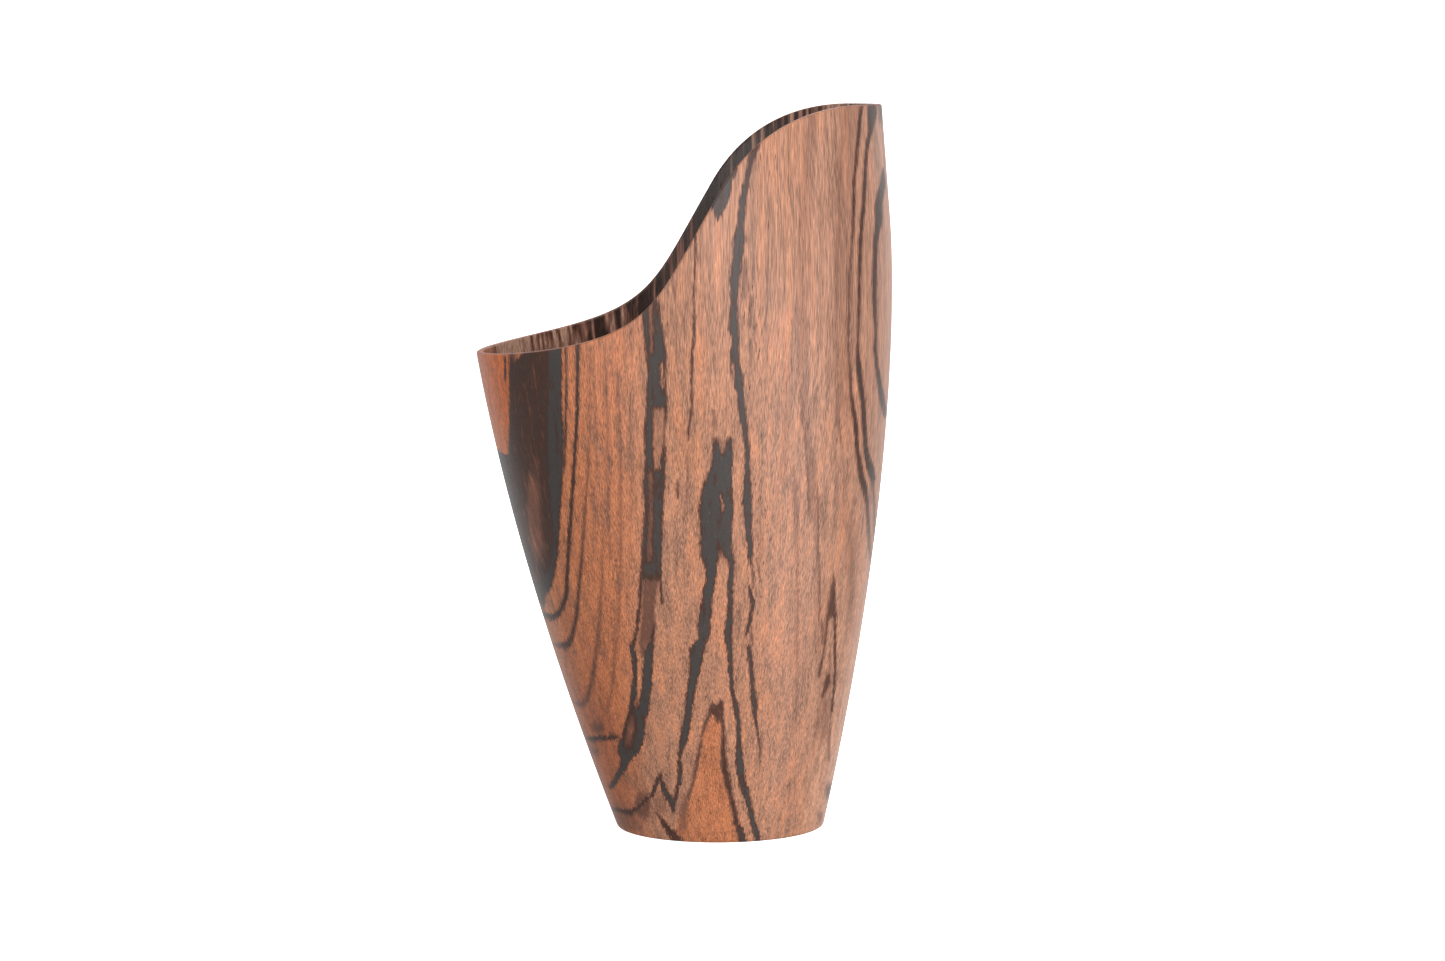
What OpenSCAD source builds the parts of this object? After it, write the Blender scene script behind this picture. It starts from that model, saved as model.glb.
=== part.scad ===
// Dip pen holder: a thin wooden body turned about a leaning axis, cut to a
// low lip and a tall side, with a weighted foot that is closed from below.

/* [Body] */
// Height of the tall side
height = 150; // [140:1:160]
// Outer radius of the body above the flare
body_r = 44.3; // [42:0.1:47]
// Radius of the turned profile where its axis meets the table
foot_r = 21.5; // [20.6:0.1:23]
// Distance along the turning axis over which the body flares
flare_length = 123; // [110:1:135]
// Shape of the flare, where 1 is a straight cone
flare_power = 1.62; // [1.4:0.02:1.9]
// Lean of the turning axis towards the low lip, in degrees
lean = 4.1; // [1:0.1:6]
// Wall thickness at the rim
wall = 1.5; // [1.2:0.1:2]
// Wall thickness where the wall meets the foot
wall_low = 2.5; // [2:0.1:3.5]

/* [Rim line] */
// Low end of the rim line, measured from the foot's centre
lip_x = -49.5; // [-54:0.5:-44]
// Height of the rim line's low end
lip_z = 99.7; // [95:0.1:105]
// Slope of the rim line at its low end, in degrees
lip_slope = 7.3; // [2:0.1:12]
// How far the low end's slope carries into the rise
lip_pull = 36.5; // [25:0.5:40]
// Where the rise is steepest, measured from the foot's centre
rise_x = -1.3; // [-6:0.1:4]
// Height at which the rise is steepest
rise_z = 131.3; // [128:0.1:134]
// Slope at the steepest point, in degrees
rise_slope = 59.7; // [50:0.1:65]
// How far the steep slope carries down towards the lip
rise_pull_down = 26.8; // [15:0.1:30]
// How far the steep slope carries up towards the crest
rise_pull_up = 3.1; // [2:0.1:8]
// Where the rim becomes level, measured from the foot's centre
crest_x = 29.2; // [24:0.1:32]
// How far the level rim carries back towards the rise
crest_pull = 21.4; // [14:0.1:24]

/* [Foot] */
// Radius of the bore that holds the plug, the ballast and the pad
bore_r = 18; // [16.5:0.1:18]
// Rounding of the foot's outer edge
foot_round = 0.6; // [0.4:0.1:1.2]
// Thickness of the leather pad under the foot
pad_t = 1.5; // [1:0.1:2]
// Thickness of the steel ballast
ballast_t = 5; // [4:0.5:6]
// Thickness of the wooden floor plug
plug_t = 6.5; // [6.5:0.5:8]
// Thickness of the felt mat on the floor
mat_t = 2; // [1.5:0.1:3]

/* [Ballast screws] */
// Number of screws
screw_count = 3; // [2:1:4]
// Radius of the circle that the screws stand on
screw_circle_r = 11; // [8:0.5:12]
// Outer radius of the thread
screw_r = 1.25; // [1:0.05:1.5]
// Length of a screw with its head
screw_length = 10; // [8:0.5:10]

/* [Hidden] */

$fn = 96;
profile_step = 7.5;          // spacing along the axis of the turned profile's points
rim_steps = 14;              // straight pieces in each half of the rim line
round_steps = 5;             // straight pieces in the foot's rounded edge
round_turn = 70;             // degrees that the foot's edge turns before it meets the wall
wall_taper = 3;              // how quickly the wall thins above the foot
glue_gap = 0.05;             // radial room for glue round the floor plug
pad_gap = 0.2;               // radial room round the foot pad
ballast_gap = 0.5;           // radial room round the ballast
mat_gap = 0.6;               // room between the felt mat and the wall
screw_gap = 0.1;             // room between a screw's thread and its hole
core_share = 0.72;           // thread's core radius as a share of its outer radius
thread_pitch = 1;
thread_low = 0.4;            // where in its pitch the thread's crest starts
thread_high = 0.5;           // where in its pitch the thread's crest ends
tip_length = 2;
head_r = 2.4;
head_gap = 0.05;             // room between a screw's head and its countersink
recess_w = 0.45;             // width of one arm of the drive recess
recess_length = 2.7;
recess_depth = 0.8;
screw_fn = 32;
over = 1;                    // how far a cutter runs past what it cuts

axis_low = -3 * profile_step;
axis_high = height + 3 * profile_step;
cutter_top = 2 * height;
far_r = 2 * body_r;
ballast_z = pad_t;
plug_z = ballast_z + ballast_t;
floor_z = plug_z + plug_t;

// Outer radius of the turned body at distance s along its axis.
function turned_r(s) = body_r - (body_r - foot_r) * flare(s, flare_power);

// Wall thickness at distance s along the axis.
function wall_at(s) = wall + (wall_low - wall) * flare(s, wall_taper);

// 1 where the axis meets the table, falling to 0 where the flare ends.
function flare(s, power) = pow(max(1 - s / flare_length, 0), power);

// The leaning body meets the table in a slightly off-centre outline. These are its
// reach on each side of the axis, and the origin is set half way between them.
reach_right = turned_r(-foot_r * sin(lean)) / cos(lean);
reach_left = turned_r(foot_r * sin(lean)) / cos(lean);
outline_r = (reach_right + reach_left) / 2;
axis_foot_x = (reach_left - reach_right) / 2;

// Place of the turning axis at height z.
function axis_x(z) = axis_foot_x - z * tan(lean);

// Point at share t of the cubic curve from a to d, with handles b and c.
function curve(a, b, c, d, t) =
    a * pow(1 - t, 3) + 3 * b * pow(1 - t, 2) * t + 3 * c * (1 - t) * t * t + d * t * t * t;

function heading(angle) = [cos(angle), sin(angle)];

// The rim line seen from the front. beyond_lip carries its low end past the body.
lip = [lip_x, lip_z];
beyond_lip = [-far_r, lip_z - (far_r + lip_x) * tan(lip_slope)];
rise = [rise_x, rise_z];
crest = [crest_x, height];
lip_to_rise = [for (i = [0 : rim_steps - 1])
    curve(lip, lip + lip_pull * heading(lip_slope),
          rise - rise_pull_down * heading(rise_slope), rise, i / rim_steps)];
rise_to_crest = [for (i = [0 : rim_steps])
    curve(rise, rise + rise_pull_up * heading(rise_slope),
          crest - [crest_pull, 0], crest, i / rim_steps)];

// Solid of revolution on the leaning axis, outside the wall or inside it.
module turned_body(inside = false) {
    profile = [for (s = [axis_low : profile_step : axis_high])
        [turned_r(s) - (inside ? wall_at(s) : 0), s]];
    translate([axis_foot_x, 0, 0])
        rotate([0, -lean, 0])
            rotate_extrude()
                polygon(concat([[0, axis_low]], profile, [[0, axis_high]]));
}

// Everything above the rim line, as a prism across the body.
module above_rim() {
    rotate([90, 0, 0])
        linear_extrude(height = 2 * far_r, center = true)
            polygon(concat(
                [beyond_lip], lip_to_rise, rise_to_crest,
                [[far_r, height], [far_r, cutter_top], [-far_r, cutter_top]]));
}

// The space above the table, with the foot's outer edge rounded.
module above_table() {
    arc = [for (i = [0 : round_steps])
        let (a = round_turn * i / round_steps)
        [outline_r - foot_round + foot_round * sin(a), foot_round * (1 - cos(a))]];
    arc_end = arc[round_steps];
    rotate_extrude()
        polygon(concat(
            [[0, 0]], arc,
            [[arc_end[0] + far_r / tan(round_turn), arc_end[1] + far_r],
             [far_r, cutter_top], [0, cutter_top]]));
}

// The turned body, cut along the rim line and bored through its foot.
module shell() {
    color("sienna")
        difference() {
            intersection() {
                turned_body();
                above_table();
            }
            intersection() {
                turned_body(inside = true);
                translate([0, 0, floor_z])
                    cylinder(r = far_r, h = cutter_top);
            }
            translate([0, 0, -over])
                cylinder(r = bore_r, h = floor_z + 2 * over);
            above_rim();
        }
}

// Places its children at each ballast screw.
module at_screws() {
    for (i = [0 : screw_count - 1])
        rotate([0, 0, 90 + i * 360 / screw_count])
            translate([screw_circle_r, 0, 0])
                children();
}

// The wooden disc that closes the bore and takes the ballast screws.
module floor_plug() {
    hole_depth = screw_length - ballast_t + screw_gap;
    color("peru")
        difference() {
            translate([0, 0, plug_z])
                cylinder(r = bore_r - glue_gap, h = plug_t);
            at_screws()
                translate([0, 0, plug_z - over])
                    cylinder(r = screw_r + screw_gap, h = over + hole_depth, $fn = screw_fn);
        }
}

// The felt disc that nibs and pen ends stand on.
module nib_mat() {
    color("darkolivegreen")
        translate([axis_x(floor_z), 0, floor_z])
            cylinder(r = turned_r(floor_z) - wall_at(floor_z) - mat_gap, h = mat_t);
}

// The steel weight, countersunk for its screws.
module ballast_disc() {
    sink = head_r + head_gap;
    color("lightslategray")
        difference() {
            translate([0, 0, ballast_z])
                cylinder(r = bore_r - ballast_gap, h = ballast_t);
            at_screws() {
                translate([0, 0, ballast_z - over])
                    cylinder(r = screw_r + screw_gap, h = ballast_t + 2 * over, $fn = screw_fn);
                translate([0, 0, ballast_z])
                    cylinder(r1 = sink, r2 = 0, h = sink, $fn = screw_fn);
            }
        }
}

// One countersunk screw, head down, with the flat of its head at the origin.
module screw() {
    core_r = screw_r * core_share;
    neck_z = head_r - core_r;
    turns = floor((screw_length - tip_length - neck_z) / thread_pitch);
    thread = [for (i = [0 : turns - 1], p = [[core_r, 0], [screw_r, thread_low], [screw_r, thread_high]])
        [p[0], neck_z + (i + p[1]) * thread_pitch]];
    difference() {
        rotate_extrude($fn = screw_fn)
            polygon(concat(
                [[0, 0], [head_r, 0]], thread,
                [[core_r, neck_z + turns * thread_pitch], [0, screw_length]]));
        for (a = [0, 90])
            rotate([0, 0, a])
                translate([-recess_length / 2, -recess_w / 2, -over])
                    cube([recess_length, recess_w, over + recess_depth]);
    }
}

// The screws that hold the ballast up against the floor plug.
module ballast_screws() {
    color("goldenrod")
        at_screws()
            translate([0, 0, ballast_z])
                screw();
}

// The leather disc set into the foot, level with its edge.
module foot_pad() {
    color("saddlebrown")
        cylinder(r = bore_r - pad_gap, h = pad_t);
}

shell();
floor_plug();
nib_mat();
ballast_disc();
ballast_screws();
foot_pad();
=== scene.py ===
# %% [markdown]
# # A dip pen holder in figured wood
# The real object is a thin wooden cup, turned about a leaning axis and then cut to a low lip and
# a tall side. Pens stand in it nib up or nib down on a felt mat. A steel weight is hidden in the
# foot, because pens that lean over the low lip would tip such a light cup. This script loads the
# measured solids as a fixed frame and gives each piece its final surface and finish.

# %% Load the frame
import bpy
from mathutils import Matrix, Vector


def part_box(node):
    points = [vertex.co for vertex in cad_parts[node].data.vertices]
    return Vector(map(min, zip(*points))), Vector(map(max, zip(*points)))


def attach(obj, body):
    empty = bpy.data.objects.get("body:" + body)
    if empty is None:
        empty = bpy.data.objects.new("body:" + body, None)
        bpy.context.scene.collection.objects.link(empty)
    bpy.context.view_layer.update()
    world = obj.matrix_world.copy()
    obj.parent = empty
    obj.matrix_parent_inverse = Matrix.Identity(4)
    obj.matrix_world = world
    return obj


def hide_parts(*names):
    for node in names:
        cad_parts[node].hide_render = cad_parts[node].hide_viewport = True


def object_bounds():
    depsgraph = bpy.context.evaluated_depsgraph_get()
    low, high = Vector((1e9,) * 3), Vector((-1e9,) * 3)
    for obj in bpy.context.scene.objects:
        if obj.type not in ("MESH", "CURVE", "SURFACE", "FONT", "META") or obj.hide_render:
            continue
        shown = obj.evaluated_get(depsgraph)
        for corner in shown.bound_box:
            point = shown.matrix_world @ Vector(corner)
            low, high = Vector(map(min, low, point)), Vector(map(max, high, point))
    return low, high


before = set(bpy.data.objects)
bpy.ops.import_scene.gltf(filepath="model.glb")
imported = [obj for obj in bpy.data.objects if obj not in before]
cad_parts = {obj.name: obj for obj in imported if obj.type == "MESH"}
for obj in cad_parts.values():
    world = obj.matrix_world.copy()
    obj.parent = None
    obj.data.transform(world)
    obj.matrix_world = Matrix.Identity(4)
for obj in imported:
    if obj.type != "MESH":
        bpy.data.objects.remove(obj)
cad_low, cad_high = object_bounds()
print("frame nodes:", sorted(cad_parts))
print("size in metres:", [round(high - low, 4) for low, high in zip(cad_low, cad_high)])

# %% [markdown]
# ## Camera
# A long lens about 85 cm away shows the cup almost without perspective. It stands a little higher
# than the rim and looks slightly down, so a sliver of the far inside wall shows over the low lip.

# %% Set up the camera
import math
import bpy
from mathutils import Matrix, Vector

MM = 0.001
CAMERA_PLACE = Vector((-0.0131, -0.8489, 0.1588))
CAMERA_TURN = math.radians(-0.944)
CAMERA_DOWN = math.radians(5.819)
CAMERA_ROLL = math.radians(-0.369)
LENS_MM = 102.34

camera_data = bpy.data.cameras.new("studio_camera")
camera_data.lens = LENS_MM
camera_data.sensor_width = 36
camera_data.clip_end = 100
camera = bpy.data.objects.new("studio_camera", camera_data)
bpy.context.scene.collection.objects.link(camera)
aim = Matrix.Rotation(CAMERA_TURN, 4, "Z") @ Matrix.Rotation(math.pi / 2 - CAMERA_DOWN, 4, "X")
camera.matrix_world = Matrix.Translation(CAMERA_PLACE) @ aim @ Matrix.Rotation(CAMERA_ROLL, 4, "Z")
bpy.context.scene.camera = camera
print("camera distance from the foot:", round(CAMERA_PLACE.length, 3), "m")

# %% [markdown]
# ## Shape of the cup
# On a lathe the outside is a plain profile of radius against distance along the axis. The blank is
# then tipped by a few degrees and cut level, which makes the cup lean, and the rim is sawn along a
# flowing line. The same few numbers describe the solid in the frame, so the fine mesh made from
# them lies on it everywhere.

# %% Describe the turned profile
import numpy as np

BODY_RADIUS = 44.3 * MM
FOOT_RADIUS = 21.5 * MM
FLARE_LENGTH = 123 * MM
FLARE_POWER = 1.62
LEAN = math.radians(4.1)
WALL_AT_RIM = 1.5 * MM
WALL_AT_FOOT = 2.5 * MM
WALL_TAPER = 3
HEIGHT = cad_high.z


def flare(along, power):
    """1 where the axis meets the table, falling to 0 where the flare ends."""
    return np.maximum(1 - along / FLARE_LENGTH, 0) ** power


def turned_radius(along, inside):
    """Radius of the outer wall, or the inner one, at a distance along the axis."""
    outer = BODY_RADIUS - (BODY_RADIUS - FOOT_RADIUS) * flare(along, FLARE_POWER)
    thickness = WALL_AT_RIM + (WALL_AT_FOOT - WALL_AT_RIM) * flare(along, WALL_TAPER)
    return outer - thickness if inside else outer


reach_right = turned_radius(-FOOT_RADIUS * math.sin(LEAN), False) / math.cos(LEAN)
reach_left = turned_radius(FOOT_RADIUS * math.sin(LEAN), False) / math.cos(LEAN)
AXIS_FOOT_X = (reach_left - reach_right) / 2
print("outline at the table:", round((reach_left + reach_right) / MM, 2), "mm across")

# %% [markdown]
# The rim line is two smooth curves that meet on the steep part of the rise, as a maker would draw
# with a spline: one climbs from the low lip, the other flattens into the level top.

# %% Draw the rim line
LIP = np.array([-49.5, 99.7]) * MM
LIP_SLOPE = math.radians(7.3)
LIP_PULL = 36.5 * MM
RISE = np.array([-1.3, 131.3]) * MM
RISE_SLOPE = math.radians(59.7)
RISE_PULL_DOWN = 26.8 * MM
RISE_PULL_UP = 3.1 * MM
CREST = np.array([29.2 * MM, HEIGHT])
CREST_PULL = 21.4 * MM
FAR = 2 * BODY_RADIUS
SPLINE_STEPS = 240


def heading(angle):
    """A step of length one at an angle above the level."""
    return np.array([math.cos(angle), math.sin(angle)])


def spline(start, start_handle, end_handle, end):
    """Points along the cubic curve with these ends and handles."""
    t = np.linspace(0, 1, SPLINE_STEPS)[:, None]
    return (start * (1 - t) ** 3 + 3 * start_handle * (1 - t) ** 2 * t
            + 3 * end_handle * (1 - t) * t * t + end * t ** 3)


steep = heading(RISE_SLOPE)
rim_line = np.vstack([
    LIP - FAR * heading(LIP_SLOPE),
    spline(LIP, LIP + LIP_PULL * heading(LIP_SLOPE), RISE - RISE_PULL_DOWN * steep, RISE),
    spline(RISE, RISE + RISE_PULL_UP * steep, CREST - np.array([CREST_PULL, 0]), CREST)[1:],
    [FAR, HEIGHT]])


def rim_height(x):
    return np.interp(x, rim_line[:, 0], rim_line[:, 1])


print("rim height at the lip and the crest:", np.round(rim_height([LIP[0], CREST[0]]), 4))

# %% [markdown]
# Every point of the wall has a turn about the axis and a distance along it. A short search finds
# where each line up the wall meets a level or the rim.

# %% Find places on the wall
COLUMNS = 384
SEARCH_ROOM = 20 * MM
SEARCH_STEPS = 44
turns = np.linspace(0, 2 * math.pi, COLUMNS, endpoint=False)


def on_wall(along, inside):
    """Points on the leaning wall, one for each column."""
    radius = turned_radius(along, inside)
    across = radius * np.cos(turns)
    x = AXIS_FOOT_X + across * math.cos(LEAN) - along * math.sin(LEAN)
    z = across * math.sin(LEAN) + along * math.cos(LEAN)
    return np.stack([x, radius * np.sin(turns), z], axis=1)


def where(target, inside):
    """Distance along the axis at which each column of the wall reaches the target height."""
    low = np.full(COLUMNS, -SEARCH_ROOM)
    high = np.full(COLUMNS, HEIGHT + SEARCH_ROOM)
    for _ in range(SEARCH_STEPS):
        middle = (low + high) / 2
        point = on_wall(middle, inside)
        above = point[:, 2] > target(point[:, 0])
        high = np.where(above, middle, high)
        low = np.where(above, low, middle)
    return (low + high) / 2


def level(height):
    return lambda x: height + 0 * x


rim_outside = where(rim_height, False)
rim_inside = where(rim_height, True)
print("wall length from table to rim:",
      np.round([rim_outside.min(), rim_outside.max()], 4), "m")

# %% [markdown]
# The maker sands every edge. The rim is rounded by under half a millimetre on both sides, the foot
# by a little more, and a small cove is left where the wall meets the floor. Each is a short curve
# pulled towards the sharp corner, and it is made square to the edge, so that it keeps its width on
# the steep part of the rim.

# %% Helpers for softened edges
RIM_ROUND = 0.5 * MM
FOOT_ROUND = 0.6 * MM
COVE = 0.6 * MM
EDGE_STEPS = 5


def unit(vectors):
    return vectors / np.linalg.norm(vectors, axis=1, keepdims=True)


def square_to(vectors, edge):
    """The part of each direction that is square to the edge."""
    return unit(vectors - np.sum(vectors * edge, axis=1, keepdims=True) * edge)


def softened(before, corner, after):
    """Rings of a short curve from one ring to another, pulled towards the corner."""
    shares = np.linspace(0, 1, EDGE_STEPS + 1)
    return [before * (1 - t) ** 2 + corner * 2 * t * (1 - t) + after * t * t for t in shares]


def rim_corner(along, other_along, inside):
    """Where one edge's rounding meets the wall, its sharp corner, and where it meets the rim."""
    corner = on_wall(along, inside)
    edge = unit(np.roll(corner, -1, axis=0) - np.roll(corner, 1, axis=0))
    over_rim = square_to(on_wall(other_along, not inside) - corner, edge)
    down_wall = square_to(on_wall(along - MM, inside) - corner, edge)
    return corner + down_wall * RIM_ROUND, corner, corner + over_rim * RIM_ROUND


outer_edge = rim_corner(rim_outside, rim_inside, False)
inner_edge = rim_corner(rim_inside, rim_outside, True)
flat = np.linalg.norm(outer_edge[2] - inner_edge[2], axis=1)
print("flat left on the rim:", np.round([flat.min() / MM, flat.max() / MM], 2), "mm")

# %% [markdown]
# The rings run up the outside, over the rim, down the inside, across the ledge that carries the
# floor plug, down the bore and back under the foot, so the skin closes on itself.

# %% Lay out the rings of the shell
WALL_ROWS = 64
plug_low, plug_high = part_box("floor_plug")
FLOOR_Z = plug_high.z
BORE_RADIUS = 18 * MM
BORE_EASE = 0.3 * MM


def wall_rows(bottom, top, inside, last_ring):
    """Rings up the wall, the last of them just under the rounded edge."""
    rings = []
    for share in np.linspace(0, 1, WALL_ROWS)[:-1]:
        rings.append(on_wall(bottom + (top - RIM_ROUND - bottom) * share, inside))
    rings.append(0.5 * (on_wall(top - 1.5 * RIM_ROUND, inside) + last_ring))
    return rings


def ring_on_circle(template, radius, z):
    """A level circle about the foot's centre, with its points in line with another ring's."""
    way = np.arctan2(template[:, 1], template[:, 0])
    return np.stack([radius * np.cos(way), radius * np.sin(way), np.full(COLUMNS, z)], axis=1)


def inward(ring, distance):
    """The ring moved level towards the foot's centre."""
    direction = ring * [1, 1, 0]
    return ring - unit(direction) * distance


foot_line = on_wall(where(level(0.0), False), False)
foot_start = where(level(FOOT_ROUND), False)
floor_line = on_wall(where(level(FLOOR_Z), True), True)
floor_start = where(level(FLOOR_Z + COVE), True)

outside = wall_rows(foot_start, rim_outside, False, outer_edge[0])
inside = wall_rows(floor_start, rim_inside, True, inner_edge[0])
rings = softened(inward(foot_line, FOOT_ROUND), foot_line, on_wall(foot_start, False))[:-1]
rings += outside
rings += softened(*outer_edge)
rings += [0.5 * (outer_edge[2] + inner_edge[2])]
rings += softened(*inner_edge[::-1])
rings += inside[::-1]
rings += softened(inside[0], floor_line, inward(floor_line, COVE))[1:]
rings += [ring_on_circle(floor_line, BORE_RADIUS + BORE_EASE, FLOOR_Z)]
rings += [ring_on_circle(floor_line, BORE_RADIUS, FLOOR_Z - BORE_EASE)]
rings += [ring_on_circle(foot_line, BORE_RADIUS, BORE_EASE)]
rings += [ring_on_circle(foot_line, BORE_RADIUS + BORE_EASE, 0.0)]
print(len(rings), "rings of", COLUMNS, "points")

# %% [markdown]
# A mesh is built from the rings as quads. Its volume tells two things: a positive sign means that
# all faces look outwards, and its size can be held against the weight of the wood.

# %% Build the shell


def mesh_object(name, points, faces, sharp_angle=35):
    """A smooth shaded mesh with its creases kept sharp."""
    mesh = bpy.data.meshes.new(name)
    mesh.from_pydata([tuple(p) for p in points], [], faces)
    mesh.validate()
    mesh.shade_smooth()
    mesh.set_sharp_from_angle(angle=math.radians(sharp_angle))
    made = bpy.data.objects.new(name, mesh)
    bpy.context.scene.collection.objects.link(made)
    return made


def ring_faces(ring_count, columns):
    """Quads between neighbouring rings, and between the last and the first."""
    faces = []
    for i in range(ring_count):
        here = i * columns
        there = ((i + 1) % ring_count) * columns
        for j in range(columns):
            k = (j + 1) % columns
            faces.append((here + j, here + k, there + k, there + j))
    return faces


def volume(points, faces):
    """Volume inside closed quads."""
    quads = np.array(points)[np.array(faces)]
    halves = np.vstack([quads[:, [0, 1, 2]], quads[:, [0, 2, 3]]])
    return np.sum(np.cross(halves[:, 0], halves[:, 1]) * halves[:, 2]) / 6


shell_points = np.vstack(rings)
shell_faces = ring_faces(len(rings), COLUMNS)
shell_volume = volume(shell_points, shell_faces)
if shell_volume < 0:
    shell_faces = [face[::-1] for face in shell_faces]
shell = mesh_object("wooden_shell", shell_points, shell_faces)
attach(shell, "root")
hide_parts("shell")
print("shell:", len(shell_faces), "quads,", round(abs(shell_volume) * 1e6, 1), "cubic cm of wood")

# %% [markdown]
# ## Writing shaders as sums
# A material is a net of nodes, but most of it is arithmetic. The class below wraps one output of a
# node, so that sums on it can be typed as usual and each sum adds its Math node. Everything that
# isn't a sum comes from one method that takes the node's type, its settings and its inputs.

# %% A socket that can be added and multiplied


class Wire:
    """One output socket of the material being wired."""

    tree = None

    def __init__(self, socket):
        self.socket = socket

    @classmethod
    def node(cls, kind, settings=None, inputs=None, output=0):
        """Adds a node, sets its settings, then its sockets, and returns one of its outputs."""
        made = cls.tree.nodes.new(kind)
        for name, value in (settings or {}).items():
            if name == "stops":
                fill_ramp(made.color_ramp, value)
            else:
                setattr(made, name, value)
        for name, value in (inputs or {}).items():
            if isinstance(value, Wire):
                cls.tree.links.new(value.socket, made.inputs[name])
            else:
                made.inputs[name].default_value = value
        return Wire(made.outputs[output]) if len(made.outputs) else made

    def also(self, output):
        """Another output of the node that this one belongs to."""
        return Wire(self.socket.node.outputs[output])

    @classmethod
    def sum(cls, operation, first, second=None, clamp=False):
        """One Math node, which may keep its result between 0 and 1."""
        settings = {"operation": operation, "use_clamp": clamp}
        inputs = {0: first} if second is None else {0: first, 1: second}
        return cls.node("ShaderNodeMath", settings, inputs)

    def __add__(self, other):
        return Wire.sum("ADD", self, other)

    def __sub__(self, other):
        return Wire.sum("SUBTRACT", self, other)

    def __rsub__(self, other):
        return Wire.sum("SUBTRACT", other, self)

    def __mul__(self, other):
        return Wire.sum("MULTIPLY", self, other)

    def __truediv__(self, other):
        return Wire.sum("DIVIDE", self, other)

    __radd__ = __add__
    __rmul__ = __mul__


def fill_ramp(ramp, stops):
    """Gives a colour ramp these (place, colour) stops."""
    while len(ramp.elements) > 1:
        ramp.elements.remove(ramp.elements[0])
    for number, (place, colour) in enumerate(stops):
        stop = ramp.elements[0] if number == 0 else ramp.elements.new(place)
        stop.position = place
        stop.color = (*colour, 1.0)


print("shader sums are ready")

# %% [markdown]
# A few named steps are used by every finish: the larger of two values, a value held between 0 and
# 1, a soft step, a mix of two colours, and noise stretched differently along each axis.

# %% Steps that all finishes share


def larger(a, b):
    return Wire.sum("MAXIMUM", a, b)


def smaller(a, b):
    return Wire.sum("MINIMUM", a, b)


def held(value):
    """The value kept between 0 and 1."""
    return Wire.sum("ADD", value, 0.0, clamp=True)


def soft_step(value, low, high):
    """0 below low, 1 above high, and smooth in between."""
    return Wire.node("ShaderNodeMapRange", {"interpolation_type": "SMOOTHSTEP"},
                     {"Value": value, "From Min": low, "From Max": high})


def blended(share, first, second, way="MIX"):
    """The first colour with a share of the second."""
    return Wire.node("ShaderNodeMix", {"data_type": "RGBA", "blend_type": way},
                     {0: share, 6: as_colour(first), 7: as_colour(second)}, output=2)


def as_colour(colour):
    return colour if isinstance(colour, Wire) else (*colour, 1.0)


def vector_sum(operation, first, second, slot=1):
    return Wire.node("ShaderNodeVectorMath", {"operation": operation}, {0: first, slot: second})


def grain_noise(place, sizes, detail=2.0, roughness=0.5):
    """Noise with lumps of these sizes along each axis, about -0.5 to 0.5."""
    stretched = vector_sum("DIVIDE", place, sizes)
    return Wire.node("ShaderNodeTexNoise", {"noise_dimensions": "3D"},
                     {"Vector": stretched, "Scale": 1.0, "Detail": detail, "Roughness": roughness}) - 0.5


def begin_finish(name):
    """A new material, and the place of a point in millimetres in it."""
    material = bpy.data.materials.new(name)
    material.use_nodes = True
    material.node_tree.nodes.clear()
    Wire.tree = material.node_tree
    metres = Wire.node("ShaderNodeTexCoord", output="Object")
    return material, vector_sum("SCALE", metres, 1000.0, slot="Scale")


def end_finish(colour, bump_height=None, bump_depth=0.1 * MM, **shader_inputs):
    """Joins the colour and the surface's other values to the shader and the output."""
    inputs = {"Base Color": colour}
    for name, value in shader_inputs.items():
        inputs[name.replace("_", " ")] = value
    if bump_height is not None:
        inputs["Normal"] = Wire.node("ShaderNodeBump", None,
                                     {"Height": bump_height, "Distance": bump_depth}, output="Normal")
    surface = Wire.node("ShaderNodeBsdfPrincipled", None, inputs)
    Wire.node("ShaderNodeOutputMaterial", None, {"Surface": surface})


def begin_group(name, inputs):
    """A new node group with these inputs, and a wire from each."""
    group = bpy.data.node_groups.new(name, "ShaderNodeTree")
    for title, kind in inputs:
        group.interface.new_socket(title, in_out="INPUT", socket_type=kind)
    group.interface.new_socket("Result", in_out="OUTPUT", socket_type="NodeSocketFloat")
    Wire.tree = group
    first = Wire.node("NodeGroupInput", output=inputs[0][0])
    return group, [first.also(title) for title, _ in inputs]


def end_group(result):
    Wire.node("NodeGroupOutput", None, {"Result": result})


def use_group(group, **inputs):
    return Wire.node("ShaderNodeGroup", {"node_tree": group}, inputs)


def paint(piece, material):
    """Gives every face of a piece this material."""
    if not piece.material_slots:
        piece.data.materials.append(material)
    for holder in piece.material_slots:
        holder.material = material
    print(piece.name, "is finished in", material.name, "with",
          len(material.node_tree.nodes), "nodes")


# %% [markdown]
# ## The figured wood
# The wood is a rosewood-like blank with ink dark streaks. In the real blank each streak is a thin
# sheet that runs through the wood, so the same streak shows on the outside and the inside of the
# wall. The figure is therefore a solid one: a streak is a strip between a left and a right edge at
# each height, and it goes straight back through the front half of the cup. A ramp holds the two
# edges and the darkness in its three channels, so one ramp is one streak.

# %% A streak as a ramp
SPAN_LEFT = -62.0
SPAN = 110.0
FIGURE_HEIGHT = 152.0
END_FADE = 1.0
END_FADE_PER_SOFT = 5.0
SOFT_ENDS_FROM = 0.6
HALO = 1.5
EDGE_SHARE = 0.62
OPEN_END = 0.5
CRISP = (0.4, 0.4)


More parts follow.
